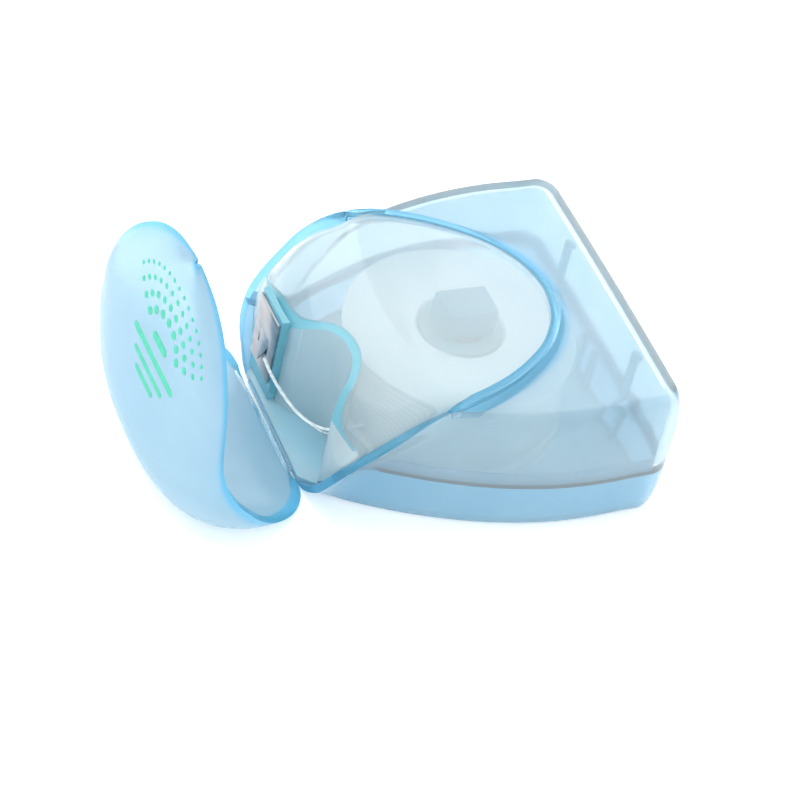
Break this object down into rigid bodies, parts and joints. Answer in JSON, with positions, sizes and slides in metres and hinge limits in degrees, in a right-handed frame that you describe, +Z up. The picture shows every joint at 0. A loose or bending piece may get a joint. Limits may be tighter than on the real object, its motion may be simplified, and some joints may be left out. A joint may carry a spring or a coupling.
{
  "type": "dental floss dispenser",
  "caption": "Pocket dental floss dispenser in translucent plastic with a flip lid on a living hinge, a steel cutter and a free-running bobbin of waxed thread.",
  "frame": {"origin": "on the underside plane, midway between the hinge end and the base wall on the plane of symmetry", "axes": "+Z up from the flat underside, +X from the hinge end to the square base end, +Y across the case to the side where the cutter sits"},
  "size_m": [0.0728, 0.051, 0.0369],
  "materials": {
    "tray_plastic": "translucent blue polypropylene, slightly frosted",
    "cover_plastic": "translucent pale blue polypropylene, glossy with soft haze",
    "cutter_steel": "plain stamped stainless steel",
    "bobbin_plastic": "white polystyrene",
    "floss": "waxed flat nylon thread"
  },
  "bodies": {
    "case": {"lower_tray": "tray_plastic", "upper_cover": "cover_plastic", "front_bulkhead": "tray_plastic", "cutter_post": "tray_plastic", "cutter_blade": "cutter_steel", "spool_post": "tray_plastic", "snap_hooks": "tray_plastic", "hinge_web": "tray_plastic", "floss_lead": "floss"},
    "lid": {"flip_lid": "cover_plastic"},
    "bobbin": {"spool_core": "bobbin_plastic", "floss_winding": "floss"}
  },
  "joints": [
    {"name": "lid_hinge", "type": "hinge", "parent": "case", "child": "lid", "pos_m": [-0.02535, 0, 0.0009], "axis": [-0.0909, 0.9958, 0.0082], "range_deg": [0, 83]},
    {"name": "bobbin_spin", "type": "hinge", "parent": "case", "child": "bobbin", "pos_m": [0.001, 0, 0.008], "axis": [0, 0, 1], "continuous": true}
  ]
}
